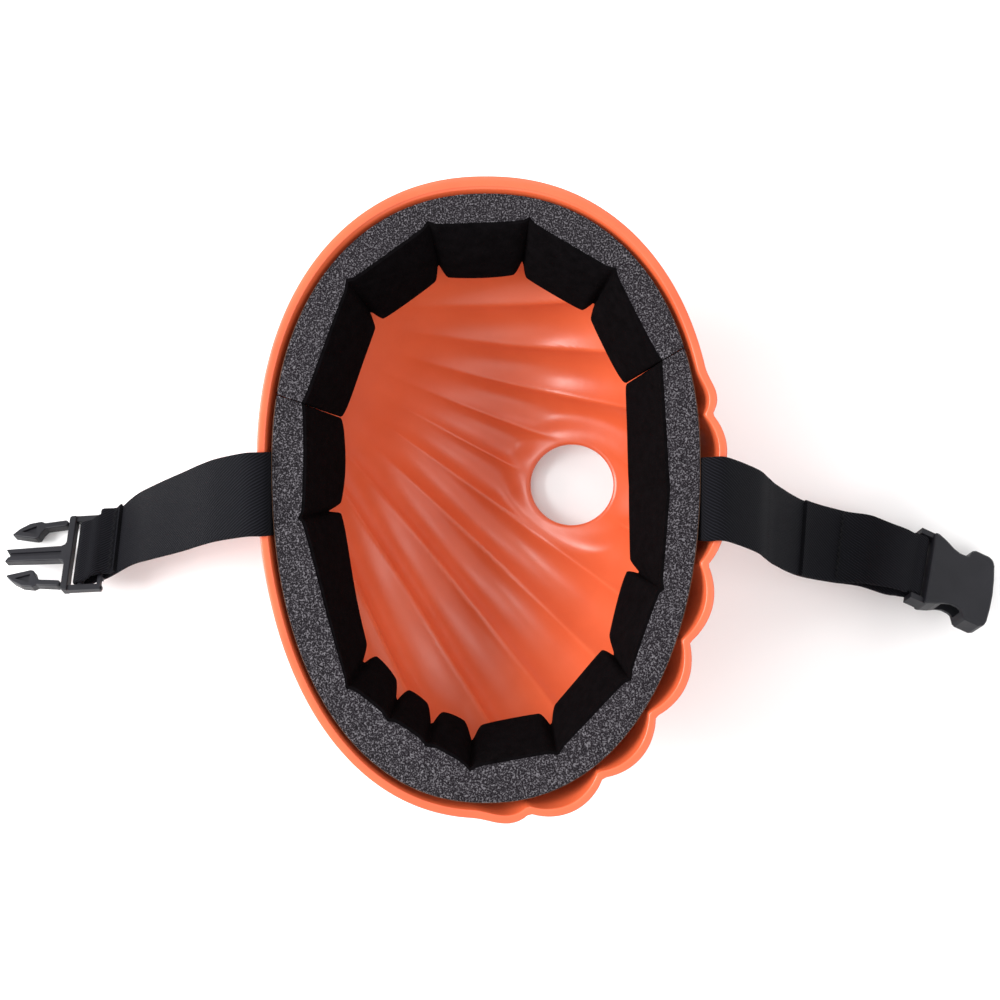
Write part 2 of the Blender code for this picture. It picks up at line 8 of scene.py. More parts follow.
import bmesh
import bpy
import numpy as np
from mathutils import Euler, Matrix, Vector


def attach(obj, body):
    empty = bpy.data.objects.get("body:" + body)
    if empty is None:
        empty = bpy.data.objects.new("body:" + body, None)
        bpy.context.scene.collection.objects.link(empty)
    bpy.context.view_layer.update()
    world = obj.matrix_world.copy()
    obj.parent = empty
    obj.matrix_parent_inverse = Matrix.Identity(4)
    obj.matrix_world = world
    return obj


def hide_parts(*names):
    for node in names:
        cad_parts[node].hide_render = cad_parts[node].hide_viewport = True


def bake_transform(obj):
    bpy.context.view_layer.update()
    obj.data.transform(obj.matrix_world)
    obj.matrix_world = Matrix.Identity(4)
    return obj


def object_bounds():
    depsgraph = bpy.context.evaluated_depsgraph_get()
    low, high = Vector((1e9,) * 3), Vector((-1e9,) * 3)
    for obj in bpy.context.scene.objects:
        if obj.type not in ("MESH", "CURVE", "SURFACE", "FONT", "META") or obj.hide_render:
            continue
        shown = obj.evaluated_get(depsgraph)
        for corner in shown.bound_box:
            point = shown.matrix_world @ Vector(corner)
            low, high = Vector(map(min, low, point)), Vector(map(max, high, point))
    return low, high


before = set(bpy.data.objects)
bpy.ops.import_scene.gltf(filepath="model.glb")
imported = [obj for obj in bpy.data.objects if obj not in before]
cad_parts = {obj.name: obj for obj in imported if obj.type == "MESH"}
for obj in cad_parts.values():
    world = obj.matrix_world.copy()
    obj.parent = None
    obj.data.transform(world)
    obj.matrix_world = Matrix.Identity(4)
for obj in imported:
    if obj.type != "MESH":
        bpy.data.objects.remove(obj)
cad_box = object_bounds()

MM = 0.001

# Shell, as in the CAD: an egg-shaped rim in plan and a dome up to it.
RIM_HEIGHT = 90 * MM
DOME_LIFT = 2.6 * MM
HALF_WIDTH = 82 * MM
TOP_REACH = 103 * MM
BOTTOM_REACH = 126.5 * MM
DOME_X = -5 * MM
DOME_Y = 12.7 * MM
EGG_POWER = 2.18
DOME_POWER = 2.2
SIDE_FULLNESS = 1.4
BROW_FULLNESS = 0.9
WALL = 3.0 * MM
EYE_X = 28.4 * MM
EYE_Y = 6.0 * MM
EYE_RADIUS = 16.0 * MM
EYE_COLLAR = 12 * MM
LOWEST = 0.15 * MM

# Ribs: straight lobes that fan out from a point past the left brow. The outer ones stop short of the rim.
FAN_X = -110 * MM
FAN_Y = 75 * MM
FAN_NEAR = 60 * MM
FAN_FAR = 150 * MM
FIRST_GROOVE = 13.4
LOBE_ANGLE = 7.3
LOBES = 6
FADE_ANGLE = 5.0
INNER_LOBES = 3
LOBE_HEIGHT = 4.5 * MM
LOBE_POWER = 0.8
GROOVE_ROUNDING = 0.08

# Lining pack, each an inset from the shell's outside, measured level.
FOAM_INSET = 5.5 * MM
FOAM_SIDE = 9.2 * MM
FOAM_BROW = 7.2 * MM
FOAM_CHIN = 11.4 * MM
FOAM_DROP = 1.0 * MM
FOAM_DEPTH = 38 * MM
BROW_DEPTH = 33 * MM
CHIN_DEPTH = 29 * MM
SIDE_SLANT = 0.95
BROW_SLANT = 0.80
LINING_THICKNESS = 1.2 * MM
LINING_OVERLAP = 1.5 * MM
PILLOW = 2.6 * MM
CREASE_PINCH = 3.4 * MM
CREASE_LIFT = 2.4 * MM
CREASE_WIDTH = 2.0
HEM_CURVE = 3.4 * MM
UPPER_STRIP = (30.7, 161.4)
LOWER_STRIP = (161.7, 390.4)
UPPER_CREASES = (56.5, 80.0, 103.5, 127.0)
LOWER_CREASES = (196.0, 238.0, 249.0, 258.0, 267.0, 284.0, 304.0, 325.0)
UPPER_KINKS = (30.7, 56.5, 80.0, 103.5, 127.0, 161.4)
LOWER_KINKS = (161.7, 196.0, 238.0, 267.0, 284.0, 304.0, 325.0, 352.0, 390.4)
FLATNESS = 0.75

# Straps.
STRAP_WIDTH = 30 * MM
STRAP_AT_BUCKLE = 27 * MM
NARROWING_POWER = 8
STRAP_THICKNESS = 1.5 * MM
BAR_RADIUS = 1.3 * MM
BAR_GAP = 0.35 * MM
TURN_RADIUS = BAR_RADIUS + BAR_GAP + STRAP_THICKNESS / 2
LAYER_GAP = 0.1 * MM
LOOP_BULGE = 0.8 * MM
RUN_IN = 10 * MM
LEFT_SKEW = 0.43
LEFT_SEWN_LENGTH = 18 * MM
LEFT_CLOSING = (10.8 * MM, 15.4 * MM)
RIGHT_SKEW = -0.23
RIGHT_SEWN_LENGTH = 57 * MM
RIGHT_CLOSING = (6 * MM, 34 * MM)
MALE_BAR = (-166.0 * MM, -21.5 * MM, 11.6 * MM)
MALE_TURN = (28.0, 8.0, 183.0)
FEMALE_BAR = (165.3 * MM, -26.4 * MM, 17.8 * MM)
FEMALE_TURN = (-32.0, 10.0, -24.0)
TWILL_PITCH = 1.15 * MM
POINTS_PER_SPAN = 10
SEWN_STEP = 1 * MM
MEETING_POINT = 6

# Camera: straight above, at the distance at which the rim hides as much of its outside as it should.
CAMERA_HEIGHT = 744 * MM
CAMERA_LENS = 65.95

# Studio.
FLOOR_GAP = 0.1 * MM
FLOOR_HALF_SIZE = 12.0
WORLD_STRENGTH = 0.95


# --- Small helpers -------------------------------------------------------------------------------


def smooth_step(low, high, value):
    share = np.clip((value - low) / (high - low), 0.0, 1.0)
    return share * share * (3 - 2 * share)


def mix(first, second, share):
    return first + (second - first) * share


def add_mesh(name, vertices, faces, material, uvs=None):
    """Makes a smooth mesh piece from arrays of vertices, quads and, for each corner, texture places."""
    mesh = bpy.data.meshes.new(name)
    mesh.from_pydata([tuple(v) for v in vertices], [], [tuple(int(i) for i in f) for f in faces])
    mesh.shade_smooth()
    if uvs is not None:
        layer = mesh.uv_layers.new(name="UVMap")
        layer.data.foreach_set("uv", np.asarray(uvs, dtype=np.float32).ravel())
    mesh.materials.append(material)
    piece = bpy.data.objects.new(name, mesh)
    bpy.context.scene.collection.objects.link(piece)
    return piece


def loft(name, sections, material, closed=False, sharp_angle=None, lengths=None):
    """A closed solid through an array of sections, each a closed ring of points.

    lengths gives each section's distance along the piece, for a texture that follows it: the other
    texture axis is the distance round the section.
    """
    sections = np.asarray(sections, dtype=float)
    count, ring = sections.shape[:2]
    vertices = sections.reshape(-1, 3)
    spans = count if closed else count - 1
    i, j = np.meshgrid(np.arange(spans), np.arange(ring), indexing="ij")
    near, far, beside = i * ring, ((i + 1) % count) * ring, (j + 1) % ring
    quads = np.stack([near + j, near + beside, far + beside, far + j], axis=-1).reshape(-1, 4)
    uvs = None
    if lengths is not None:
        steps = np.linalg.norm(np.diff(sections[0], axis=0, append=sections[0][:1]), axis=1)
        around = np.concatenate([[0.0], np.cumsum(steps)])
        u0, u1 = np.asarray(lengths)[i], np.asarray(lengths)[(i + 1) % count]
        v0, v1 = around[j], around[j + 1]
        corners = [np.stack(corner, axis=-1) for corner in ((u0, v0), (u0, v1), (u1, v1), (u1, v0))]
        uvs = np.stack(corners, axis=-2).reshape(-1, 2)
    piece = add_mesh(name, vertices, quads, material, uvs)
    bm = bmesh.new()
    bm.from_mesh(piece.data)
    if not closed:
        bmesh.ops.holes_fill(bm, edges=[e for e in bm.edges if e.is_boundary], sides=0)
    bmesh.ops.recalc_face_normals(bm, faces=bm.faces)
    if bm.calc_volume(signed=True) < 0:
        bmesh.ops.reverse_faces(bm, faces=bm.faces)
    bm.to_mesh(piece.data)
    bm.free()
    if sharp_angle:
        piece.data.set_sharp_from_angle(angle=math.radians(sharp_angle))
    return piece


# --- Materials -----------------------------------------------------------------------------------


class Nodes:
    """A material's node tree, with a short way to add and link nodes."""

    def __init__(self, name):
        self.material = bpy.data.materials.new(name)
        self.material.use_nodes = True
        self.tree = self.material.node_tree
        self.shader = self.tree.nodes["Principled BSDF"]

    def add(self, kind, **settings):
        node = self.tree.nodes.new(kind)
        for key, value in settings.items():
            setattr(node, key, value)
        return node

    def link(self, source, target):
        self.tree.links.new(source, target)

    def noise(self, scale, detail=4.0, roughness=0.55, vector=None):
        node = self.add("ShaderNodeTexNoise")
        node.inputs["Scale"].default_value = scale
        node.inputs["Detail"].default_value = detail
        node.inputs["Roughness"].default_value = roughness
        self.link(vector or self.place(), node.inputs["Vector"])
        return node.outputs["Fac"]

    def place(self):
        return self.add("ShaderNodeTexCoord").outputs["Object"]

    def ramp(self, value, *stops):
        node = self.add("ShaderNodeValToRGB")
        elements = node.color_ramp.elements
        while len(elements) < len(stops):
            elements.new(0.5)
        for element, (position, colour) in zip(elements, stops):
            element.position = position
            element.color = (*colour, 1.0)
        self.link(value, node.inputs["Fac"])
        return node.outputs["Color"]

    def maths(self, operation, first, second=None):
        node = self.add("ShaderNodeMath", operation=operation)
        for socket, value in zip(node.inputs, (first, second)):
            if value is None:
                continue
            if isinstance(value, (int, float)):
                socket.default_value = value
            else:
                self.link(value, socket)
        return node.outputs[0]

    def bump(self, height, distance, strength=1.0, after=None):
        node = self.add("ShaderNodeBump")
        node.inputs["Distance"].default_value = distance
        node.inputs["Strength"].default_value = strength
        self.link(height, node.inputs["Height"])
        if after:
            self.link(after, node.inputs["Normal"])
        return node.outputs["Normal"]

    def finish(self, roughness, colour=None, rough=None, normal=None, **sockets):
        self.shader.inputs["Roughness"].default_value = roughness
        if colour:
            self.link(colour, self.shader.inputs["Base Color"])
        if rough:
            self.link(rough, self.shader.inputs["Roughness"])
        if normal:
            self.link(normal, self.shader.inputs["Normal"])
        for name, value in sockets.items():
            self.shader.inputs[name.replace("_", " ")].default_value = value
        return self.material


def shell_material():
    """Orange moulded plastic: slightly mottled, satin, with faint flow marks and fine scuffs."""
    nodes = Nodes("shell_plastic")
    mottle = nodes.noise(22, 5)
    colour = nodes.ramp(mottle, (0.3, (0.60, 0.088, 0.028)), (0.7, (0.70, 0.118, 0.042)))
    rough = nodes.ramp(nodes.noise(60, 6, 0.7), (0.3, (0.30, 0.30, 0.30)), (0.75, (0.46, 0.46, 0.46)))
    waves = nodes.bump(nodes.noise(90, 3), 0.00025, 0.5)
    normal = nodes.bump(nodes.noise(900, 4, 0.7), 0.00004, 0.6, waves)
    return nodes.finish(0.38, colour, rough, normal, Coat_Weight=0.15, Coat_Roughness=0.25)


def foam_material():
    """Cut open-cell foam: dark grey, with bright cell walls and black pores."""
    nodes = Nodes("cut_foam")
    cells = nodes.add("ShaderNodeTexVoronoi")
    cells.inputs["Scale"].default_value = 1900
    nodes.link(nodes.place(), cells.inputs["Vector"])
    grain = nodes.noise(1300, 4, 0.8)
    speckle = nodes.maths("MULTIPLY_ADD", cells.outputs["Distance"], 0.55)
    nodes.link(grain, speckle.node.inputs[2])
    colour = nodes.ramp(
        speckle, (0.52, (0.006, 0.005, 0.006)), (0.80, (0.022, 0.019, 0.023)), (1.00, (0.17, 0.16, 0.175))
    )
    normal = nodes.bump(speckle, 0.0009, 0.9)
    return nodes.finish(0.95, colour, None, normal, Specular_IOR_Level=0.1)


def lining_material():
    """Black brushed knit: almost no gloss, with a faint nap."""
    nodes = Nodes("brushed_lining")
    nap = nodes.noise(260, 6, 0.7)
    colour = nodes.ramp(nap, (0.3, (0.0012, 0.0010, 0.0012)), (0.8, (0.0042, 0.0034, 0.0040)))
    fine = nodes.bump(nodes.noise(1600, 3, 0.7), 0.00035, 0.7)
    normal = nodes.bump(nap, 0.0006, 0.4, fine)
    return nodes.finish(1.0, colour, None, normal, Specular_IOR_Level=0.03)


def elastic_material(side, slope):
    """Woven elastic: diagonal twill lines along the strap, crossed by fine covered rubber threads."""
    nodes = Nodes("woven_elastic_" + side)
    uv = nodes.add("ShaderNodeUVMap", uv_map="UVMap").outputs["UV"]
    split = nodes.add("ShaderNodeSeparateXYZ")
    nodes.link(uv, split.inputs[0])
    along, across = split.outputs[0], split.outputs[1]
    wander = nodes.maths("MULTIPLY", nodes.noise(140, 2), 0.0008)
    diagonal = nodes.maths("ADD", nodes.maths("MULTIPLY", along, slope), across)
    diagonal = nodes.maths("ADD", diagonal, wander)
    twill = nodes.maths("SINE", nodes.maths("MULTIPLY", diagonal, 2 * math.pi / TWILL_PITCH))
    thread = nodes.maths("SINE", nodes.maths("MULTIPLY", across, 2 * math.pi / (0.62 * MM)))
    weft = nodes.maths("SINE", nodes.maths("MULTIPLY", along, 2 * math.pi / (0.50 * MM)))
    weave = nodes.maths("ADD", twill, nodes.maths("MULTIPLY", nodes.maths("MULTIPLY", thread, weft), 0.45))
    level = nodes.maths("MULTIPLY_ADD", weave, 0.3)
    level.node.inputs[2].default_value = 0.5
    colour = nodes.ramp(
        level,
        (0.1, (0.0008, 0.0008, 0.0012)),
        (0.55, (0.0038, 0.0038, 0.0055)),
        (1.0, (0.0150, 0.0150, 0.0200)),
    )
    fuzz = nodes.bump(nodes.noise(2200, 3, 0.7), 0.0002, 0.4)
    normal = nodes.bump(level, 0.00035, 0.9, fuzz)
    return nodes.finish(
        0.85, colour, None, normal, Specular_IOR_Level=0.08, Sheen_Weight=0.005, Sheen_Roughness=0.5
    )


def buckle_material():
    """Black moulded plastic with a fine spark-eroded grain, slightly worn along its length."""
    nodes = Nodes("moulded_black")
    mottle = nodes.noise(45, 4)
    colour = nodes.ramp(mottle, (0.3, (0.0060, 0.0060, 0.0085)), (0.8, (0.0125, 0.0122, 0.0165)))
    rough = nodes.ramp(nodes.noise(130, 5), (0.3, (0.40, 0.40, 0.40)), (0.8, (0.55, 0.55, 0.55)))
    normal = nodes.bump(nodes.noise(3000, 2, 0.6), 0.00006, 0.7)
    return nodes.finish(0.46, colour, rough, normal, Specular_IOR_Level=0.25)


def plain_material(name, colour, roughness, scale):
    """One colour with a faint mottle and a fine grain."""
    nodes = Nodes(name)
    darker = tuple(0.75 * c for c in colour)
    mottle = nodes.ramp(nodes.noise(scale, 4), (0.3, darker), (0.7, colour))
    normal = nodes.bump(nodes.noise(4 * scale, 3), 0.0001, 0.5)
    return nodes.finish(roughness, mottle, None, normal, Specular_IOR_Level=0.15)


# --- Shell ---------------------------------------------------------------------------------------


def rim_radius(angle):
    """Distance from the dome's axis to the outside of the rim, at an angle in plan."""
    reach = np.where(np.sin(angle) > 0, TOP_REACH, BOTTOM_REACH)
    across = np.abs(np.cos(angle)) / HALF_WIDTH
    along = np.abs(np.sin(angle)) / reach
    return (across**EGG_POWER + along**EGG_POWER) ** (-1 / EGG_POWER)


def brow_share(angle):
    return np.maximum(0.0, np.sin(angle)) ** 1.5


def fullness(angle):
    return mix(SIDE_FULLNESS, BROW_FULLNESS, brow_share(angle))


def dome_point(angle, share):
    left = np.maximum(0.0, 1 - share**DOME_POWER)
    height = RIM_HEIGHT - (RIM_HEIGHT - DOME_LIFT) * left ** (1 / fullness(angle))
    reach = rim_radius(angle) * share
    return np.stack([DOME_X + reach * np.cos(angle), DOME_Y + reach * np.sin(angle), height], axis=-1)


def wall_share(angle, height):
    left = np.maximum(0.0, (RIM_HEIGHT - height) / (RIM_HEIGHT - DOME_LIFT))
    return (1 - left ** fullness(angle)) ** (1 / DOME_POWER)


def outward(angle, share):
    """The way out through the wall: square to it low in the dome, and level near the rim."""
    step = 0.004
    inner = np.clip(share - step, step, 1 - 2 * step)
    up_the_wall = dome_point(angle, inner + 2 * step) - dome_point(angle, inner)
    round_the_wall = dome_point(angle + step, inner) - dome_point(angle - step, inner)
    normal = np.cross(round_the_wall, up_the_wall)
    normal /= np.linalg.norm(normal, axis=-1, keepdims=True)
    level = normal * (1.0, 1.0, 0.0)
    level /= np.maximum(1e-6, np.sum(level**2, axis=-1, keepdims=True))
    return mix(normal, level, smooth_step(0.60, 0.85, share)[..., None])


def lobe_bulge(x, y, share):
    """How far the ribs' lobes stand out of the plain dome at a place in plan."""
    right, down = x - FAN_X, FAN_Y - y
    turn = np.degrees(np.arctan2(down, right))
    last_groove = FIRST_GROOVE + LOBES * LOBE_ANGLE
    extra = INNER_LOBES * LOBE_ANGLE
    at_rim = smooth_step(FIRST_GROOVE - FADE_ANGLE, FIRST_GROOVE, turn)
    at_rim = at_rim * (1 - smooth_step(last_groove, last_groove + FADE_ANGLE, turn))
    inside = smooth_step(FIRST_GROOVE - extra - FADE_ANGLE, FIRST_GROOVE - extra, turn)
    inside = inside * (1 - smooth_step(last_groove + extra, last_groove + extra + FADE_ANGLE, turn))
    inside = inside * (1 - smooth_step(0.70, 0.90, share))
    strength = smooth_step(FAN_NEAR, FAN_FAR, np.hypot(right, down)) * np.maximum(at_rim, inside)
    wave = np.sin(math.pi * (turn - FIRST_GROOVE) / LOBE_ANGLE)
    wave = np.sqrt(wave**2 + GROOVE_ROUNDING**2) - GROOVE_ROUNDING
    return LOBE_HEIGHT * strength * np.maximum(wave, 0.0) ** LOBE_POWER


def make_shell(material):
    """The shell as one closed skin: rings run from the eye opening's lip to the rim, outside and inside."""
    around = np.linspace(0, 2 * math.pi, 480, endpoint=False)
    rim_x = DOME_X + rim_radius(around) * np.cos(around)
    rim_y = DOME_Y + rim_radius(around) * np.sin(around)
    aim = np.arctan2(rim_y - EYE_Y, rim_x - EYE_X)
    lip = WALL * 0.35
    eye_x = EYE_X + (EYE_RADIUS + lip) * np.cos(aim)
    eye_y = EYE_Y + (EYE_RADIUS + lip) * np.sin(aim)

    def skin(t, depth):
        x, y = mix(eye_x, rim_x, t), mix(eye_y, rim_y, t)
        angle = np.arctan2(y - DOME_Y, x - DOME_X)
        share = np.minimum(1.0, np.hypot(x - DOME_X, y - DOME_Y) / rim_radius(angle))
        away_from_eye = smooth_step(0.0, EYE_COLLAR, t * np.hypot(rim_x - eye_x, rim_y - eye_y))
        offset = outward(angle, share) * (lobe_bulge(x, y, share) * away_from_eye - depth)[..., None]
        offset[:, :2] *= away_from_eye[:, None]
        place = dome_point(angle, share) + offset
        place[:, 2] = np.maximum(place[:, 2], LOWEST)
        return place

    steps = 1 - (1 - np.linspace(0, 1, 110)) ** 1.15
    rings = [skin(t, 0.0) for t in steps[::-1]]
    outer, inner = skin(0.0, 0.0), skin(0.0, WALL)
    middle, half = (outer + inner) / 2, (outer - inner) / 2
    to_middle = np.stack([-np.cos(aim), -np.sin(aim), np.zeros_like(aim)], axis=-1)
    for turn in np.radians((30, 60, 90, 120, 150)):
        rings.append(middle + half * np.cos(turn) + to_middle * lip * np.sin(turn))
    rings += [skin(t, WALL) for t in steps]
    top_inner, top_outer = rings[-1].copy(), rings[0].copy()
    edge = 0.5 * MM
    inward = (top_inner - top_outer) / np.linalg.norm(top_inner - top_outer, axis=-1, keepdims=True)
    rings[-1] = rings[-1] - (0, 0, edge)
    rings.append(top_inner - inward * edge * 0.3 - (0, 0, 0.3 * edge))
    rings.append(top_inner - inward * edge)
    rings.append(top_outer + inward * edge)
    rings.append(top_outer + inward * edge * 0.3 - (0, 0, 0.3 * edge))
    rings[0] = rings[0] - (0, 0, edge)
    shell = loft("moulded_shell", np.stack(rings), material, closed=True)
    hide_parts("face_shell")
    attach(shell, "shell")
    return shell


# --- Foam and lining -----------------------------------------------------------------------------


def wall_place(angle, depth, inset):
    """A place beside the shell's wall: a depth down it from the rim, and an inset measured level."""
    slant = mix(SIDE_SLANT, BROW_SLANT, brow_share(angle))
    height = RIM_HEIGHT - depth * slant
    reach = rim_radius(angle) * wall_share(angle, height) - inset
    return np.stack([DOME_X + reach * np.cos(angle), DOME_Y + reach * np.sin(angle), height], axis=-1)


def foam_thickness(angle):
    below = mix(FOAM_SIDE, FOAM_CHIN, np.sin(angle) ** 2)
    above = mix(FOAM_SIDE, FOAM_BROW, np.sin(angle) ** 2)
    return np.where(np.sin(angle) > 0, above, below)


def foam_depth(angle):
    above = mix(FOAM_DEPTH, BROW_DEPTH, np.sin(angle) ** 2)
    below = mix(FOAM_DEPTH, CHIN_DEPTH, np.sin(angle) ** 2)
    return np.where(np.sin(angle) > 0, above, below)


def flattening(degrees, kinks):
    """How far the foam's edge stands in from the curve of the rim, as it runs straight between kinks."""
    def reach(turn):
        angle = np.radians(turn)
        return rim_radius(angle) - FOAM_INSET - foam_thickness(angle)

    kinks = np.array(kinks)
    i = np.clip(np.searchsorted(kinks, degrees) - 1, 0, len(kinks) - 2)
    start, end = kinks[i], kinks[i + 1]
    near, far = reach(start), reach(end)
    chord = near * far * np.sin(np.radians(end - start))
    chord /= near * np.sin(np.radians(degrees - start)) + far * np.sin(np.radians(end - degrees))
    return FLATNESS * (reach(degrees) - chord)


def creasing(degrees, span, creases):
    """For angles along a strip: 1 in a crease's bottom, and how far between two creases, 0 to 1."""
    nearest = np.min(np.abs(degrees[:, None] - np.array(creases)), axis=1)
    fold = np.maximum(0.0, 1 - nearest / CREASE_WIDTH) ** 1.6
    edges = np.array([span[0], *creases, span[1]])
    i = np.clip(np.searchsorted(edges, degrees) - 1, 0, len(edges) - 2)
    return fold, (degrees - edges[i]) / (edges[i + 1] - edges[i])


def make_strip(
    name, span, creases, kinks, material, inner_face, outer_face, extra_drop=0.0, extra_depth=0.0
):
    """One strip along the rim, as rings round its cross-section at each angle along it."""
    degrees = np.linspace(span[0], span[1], int(2.2 * (span[1] - span[0])))
    angle = np.radians(degrees)
    fold, between = creasing(degrees, span, creases)
    flat = flattening(degrees, kinks)
    pillow = np.sin(math.pi * between) ** 0.45
    lift = CREASE_LIFT * fold + HEM_CURVE * (1 - pillow)

    def place(v, w):
        drop = mix(FOAM_DROP + extra_drop, foam_depth(angle) + extra_depth - lift, v)
        bulge = PILLOW * pillow * math.sin(math.pi * min(1.0, 0.15 + 0.75 * v))
        pinch = CREASE_PINCH * fold * (0.25 + 0.75 * v)
        front = inner_face(angle) + (bulge - pinch + flat * (1 - 0.6 * v) if w else 0)
        return wall_place(angle, drop, mix(outer_face(angle), front, w))

    rows = np.linspace(0, 1, 14)
    ring = [place(v, 0.0) for v in rows]
    ring += [place(1.0, w) for w in (0.35, 0.7)]
    ring += [place(v, 1.0) for v in (0.985, *rows[-2::-1])]
    ring += [place(0.0, w) for w in (0.75, 0.5, 0.25)]
    return loft(name, np.stack(ring, axis=1), material, sharp_angle=50)


def make_padding(prefix, span, creases, kinks, foam_finish, lining_finish):
    def face(angle):
        return FOAM_INSET + foam_thickness(angle)

    foam = make_strip(
        prefix + "_cut_foam", span, creases, kinks, foam_finish, face,
        lambda angle: FOAM_INSET + 0 * angle,
    )
    lining = make_strip(
        prefix + "_brushed_lining", span, creases, kinks, lining_finish,
        lambda angle: face(angle) + LINING_THICKNESS,
        lambda angle: face(angle) - LINING_OVERLAP,
        extra_drop=0.3 * MM,
        extra_depth=0.5 * MM,
    )
    for piece, node, slot in ((foam, "_foam", "foam_grey"), (lining, "_lining", "lining_black")):
        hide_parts(prefix + node)
        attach(piece, "shell")


# --- Straps --------------------------------------------------------------------------------------


def smooth_path(points, per_span):
    """Points along a smooth curve through the given ones, which are tuples of the same length."""
    points = np.array(points)
    ends = np.concatenate([points[:1], points, points[-1:]])
    path = []
    for i in range(1, len(ends) - 2):
        for t in np.arange(per_span) / per_span:
            weights = (
                -t + 2 * t**2 - t**3,
                2 - 5 * t**2 + 3 * t**3,
                t + 4 * t**2 - 3 * t**3,
                t**3 - t**2,
            )
            path.append(np.array(weights) @ ends[i - 1 : i + 3] / 2)
    path.append(points[-1])
    return np.array(path)


def upper_sides(centres, across):
    along = np.gradient(centres, axis=0)
    normals = np.cross(across, along)
    return normals / np.linalg.norm(normals, axis=1, keepdims=True)


def web(name, centres, across, widths, material):
    """A woven strap along a path, with rounded selvedges. Its texture runs along and across it."""
    normals = upper_sides(centres, across)
    half = STRAP_THICKNESS / 2
    profile = [(-1, -0.35), (-1, 0.35), (-0.975, 0.85), (-0.94, 1)]
    profile += [(s, 1) for s in np.linspace(-0.8, 0.8, 9)]
    profile += [(0.94, 1), (0.975, 0.85), (1, 0.35), (1, -0.35), (0.975, -0.85), (0.94, -1)]
    profile += [(s, -1) for s in np.linspace(0.8, -0.8, 9)]
    profile += [(-0.94, -1), (-0.975, -0.85)]
    rings = []
    for side, lift in profile:
        rings.append(centres + across * (side * widths / 2)[:, None] + normals * (lift * half))
    lengths = np.concatenate([[0], np.cumsum(np.linalg.norm(np.diff(centres, axis=0), axis=1))])
    return loft(name, np.stack(rings, axis=1), material, lengths=lengths, sharp_angle=60)


def strap_path(route, bar, turn, skew, sewn_length, closing):
    """Centres, directions across and widths of a strap, from behind the foam to its sewn end."""
    turned = Euler([math.radians(d) for d in turn], "XYZ").to_matrix()
    out, along_bar, up = (np.array(turned.col[i]) for i in range(3))
    along_bar = along_bar if along_bar[1] > 0 else -along_bar
    bar = np.array(bar)
    under = bar - up * TURN_RADIUS
    pull = along_bar * skew - out
    steps = ((RUN_IN, 0.0, 0.94), (RUN_IN / 2, -LOOP_BULGE, 1.0), (0.0, 0.0, 1.0))
    tail = [(*(under + pull * back + up * rise), share) for back, rise, share in steps]
    path = smooth_path([*route, *tail], POINTS_PER_SPAN)
    centres, share = path[:, :3], np.clip(path[:, 3], 0, 1)
    across = mix(np.array((0.0, 1.0, 0.0)), along_bar, share[:, None])
    across /= np.linalg.norm(across, axis=1, keepdims=True)
    widths = mix(STRAP_WIDTH, STRAP_AT_BUCKLE, share**NARROWING_POWER)

    angles = math.pi * (np.linspace(0, 1, 14)[1:] - 0.5)
    loop = bar + TURN_RADIUS * (np.cos(angles)[:, None] * out + np.sin(angles)[:, None] * up)

    normals = upper_sides(centres, across)
    normals *= np.sign(normals[:, 2:3])
    travel = np.concatenate([[0], np.cumsum(np.linalg.norm(np.diff(centres[::-1], axis=0), axis=1))])
    wanted = np.linspace(0, sewn_length, int(sewn_length / SEWN_STEP))[1:]

    def back_along(values):
        return np.stack([np.interp(wanted, travel, values[::-1, k]) for k in range(3)], axis=1)

    opened = 2 * TURN_RADIUS + 2 * LOOP_BULGE * smooth_step(0.0, RUN_IN / 2, wanted)
    closed = smooth_step(*closing, wanted)
    lift = mix(opened, STRAP_THICKNESS + LAYER_GAP, closed)
    top = back_along(centres) + back_along(normals) * lift[:, None]
    top_across = back_along(across)
    top_widths = np.interp(wanted, travel, widths[::-1])
    centres = np.concatenate([centres, loop, top])
    across = np.concatenate([across, np.repeat([along_bar], len(loop), axis=0), top_across])
    widths = np.concatenate([widths, np.full(len(loop), STRAP_AT_BUCKLE), top_widths])
    return centres, across, widths


def make_strap(side, route, bar, turn, skew, sewn_length, closing, material):
    """One strap as two pieces that meet at a point of its inner half."""
    centres, across, widths = strap_path(route, bar, turn, skew, sewn_length, closing)
    cut = MEETING_POINT * POINTS_PER_SPAN
    inner = web(side + "_elastic_inner", centres[: cut + 1], across[: cut + 1], widths[: cut + 1], material)
    outer = web(side + "_elastic_outer", centres[cut:], across[cut:], widths[cut:], material)
    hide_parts(side + "_strap_inner", side + "_strap_anchor")
    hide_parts(side + "_strap_outer")
    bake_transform(inner)
    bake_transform(outer)


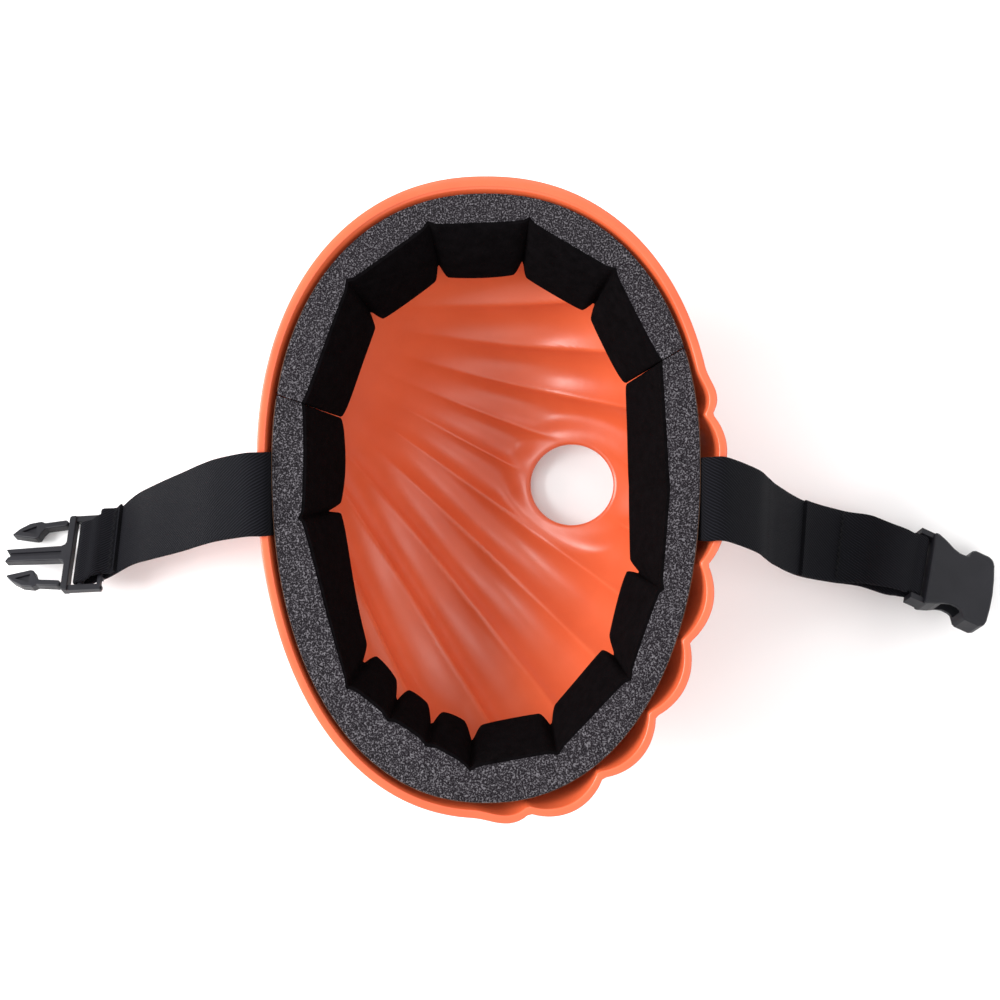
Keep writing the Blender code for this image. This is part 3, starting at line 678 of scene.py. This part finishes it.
def make_straps():
    left_route = [
        (-76.5 * MM, 2.4 * MM, 66.0 * MM, 0.0),
        (-80.6 * MM, 2.3 * MM, 78.0 * MM, 0.0),
        (-82.6 * MM, 2.2 * MM, 88.0 * MM, 0.0),
        (-85.0 * MM, 2.0 * MM, 91.7 * MM, 0.0),
        (-91.0 * MM, 1.8 * MM, 91.0 * MM, 0.0),
        (-102.5 * MM, 0.0, 81.5 * MM, 0.1),
        (-110.5 * MM, -2.0 * MM, 71.4 * MM, 0.2),
        (-118.0 * MM, -4.2 * MM, 60.5 * MM, 0.3),
        (-133.5 * MM, -8.4 * MM, 38.5 * MM, 0.6),
        (-145.0 * MM, -11.9 * MM, 19.5 * MM, 0.75),
    ]
    right_route = [
        (66.5 * MM, 0.7 * MM, 66.0 * MM, 0.0),
        (70.5 * MM, 0.5 * MM, 78.0 * MM, 0.0),
        (72.8 * MM, 0.3 * MM, 88.0 * MM, 0.0),
        (75.0 * MM, 0.3 * MM, 91.7 * MM, 0.0),
        (81.0 * MM, 0.2 * MM, 91.2 * MM, 0.0),
        (93.0 * MM, -3.8 * MM, 80.0 * MM, 0.1),
        (98.5 * MM, -6.7 * MM, 68.0 * MM, 0.15),
        (104.0 * MM, -9.6 * MM, 55.0 * MM, 0.2),
        (117.0 * MM, -14.8 * MM, 31.0 * MM, 0.4),
        (132.5 * MM, -18.4 * MM, 18.0 * MM, 0.6),
        (145.0 * MM, -20.8 * MM, 15.0 * MM, 0.75),
    ]
    left_elastic = elastic_material("left", 0.6)
    make_strap(
        "left", left_route, MALE_BAR, MALE_TURN, LEFT_SKEW, LEFT_SEWN_LENGTH, LEFT_CLOSING, left_elastic
    )
    right_elastic = elastic_material("right", -0.6)
    make_strap(
        "right", right_route, FEMALE_BAR, FEMALE_TURN, RIGHT_SKEW, RIGHT_SEWN_LENGTH, RIGHT_CLOSING,
        right_elastic,
    )


# --- Carried-over parts --------------------------------------------------------------------------


def dress_nodes():
    """Gives the CAD nodes that stay their finish."""
    plastic = buckle_material()
    thread = plain_material("polyester_thread", (0.005, 0.005, 0.006), 0.8, 900)
    # The tape's dark red-brown is painted shade: it stands for the reddish shadow in the narrow gap between
    # the foam and the shell, where the tape shows.
    tape = plain_material("tape_painted_gap_shade", (0.16, 0.08, 0.05), 0.6, 200)
    finishes = {
        "male_buckle": plastic,
        "upper_prong": plastic,
        "lower_prong": plastic,
        "female_buckle": plastic,
        "left_stitching": thread,
        "right_stitching": thread,
        "upper_foam_tape": tape,
        "lower_foam_tape": tape,
    }
    for name, finish in finishes.items():
        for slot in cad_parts[name].material_slots:
            slot.material = finish


# --- Studio --------------------------------------------------------------------------------------


def area_light(name, location, size, power, colour=(1, 1, 1)):
    light = bpy.data.lights.new(name, "AREA")
    light.shape = "RECTANGLE"
    light.size, light.size_y = size
    light.energy = power
    light.color = colour
    lamp = bpy.data.objects.new(name, light)
    lamp.location = location
    lamp.rotation_euler = (-Vector(location)).to_track_quat("-Z", "Y").to_euler()
    bpy.context.scene.collection.objects.link(lamp)


def make_studio():
    floor_nodes = Nodes("pale_floor")
    floor_nodes.shader.inputs["Base Color"].default_value = (0.93, 0.93, 0.93, 1.0)
    floor_material = floor_nodes.finish(0.9, Specular_IOR_Level=0.1)
    bm = bmesh.new()
    bmesh.ops.create_grid(bm, x_segments=1, y_segments=1, size=FLOOR_HALF_SIZE)
    mesh = bpy.data.meshes.new("floor")
    bm.to_mesh(mesh)
    bm.free()
    mesh.materials.append(floor_material)
    floor = bpy.data.objects.new("floor", mesh)
    floor.location.z = cad_box[0][2] - FLOOR_GAP
    bpy.context.scene.collection.objects.link(floor)

    world = bpy.data.worlds.new("studio")
    bpy.context.scene.world = world
    world.use_nodes = True
    bpy.context.scene.view_settings.view_transform = "Standard"
    world.node_tree.nodes["Background"].inputs["Color"].default_value = (1.0, 1.0, 1.0, 1.0)
    world.node_tree.nodes["Background"].inputs["Strength"].default_value = WORLD_STRENGTH
    area_light("left_softbox", (-1.1, 0.1, 0.85), (0.7, 0.7), 26)
    area_light("right_softbox", (0.9, -0.2, 1.2), (0.8, 0.8), 4)
    area_light("near_softbox", (0.1, -0.9, 1.1), (1.0, 0.5), 1.5)
    area_light("far_softbox", (0.0, 0.9, 1.2), (1.0, 0.5), 3.5)

    camera_data = bpy.data.cameras.new("camera")
    camera_data.lens = CAMERA_LENS
    camera_data.sensor_width = 36
    camera = bpy.data.objects.new("camera", camera_data)
    camera.location = (0, 0, CAMERA_HEIGHT)
    bpy.context.scene.collection.objects.link(camera)
    bpy.context.scene.camera = camera


def main():
    make_shell(shell_material())
    foam_finish, lining_finish = foam_material(), lining_material()
    make_padding("upper", UPPER_STRIP, UPPER_CREASES, UPPER_KINKS, foam_finish, lining_finish)
    make_padding("lower", LOWER_STRIP, LOWER_CREASES, LOWER_KINKS, foam_finish, lining_finish)
    make_straps()
    dress_nodes()
    make_studio()


main()
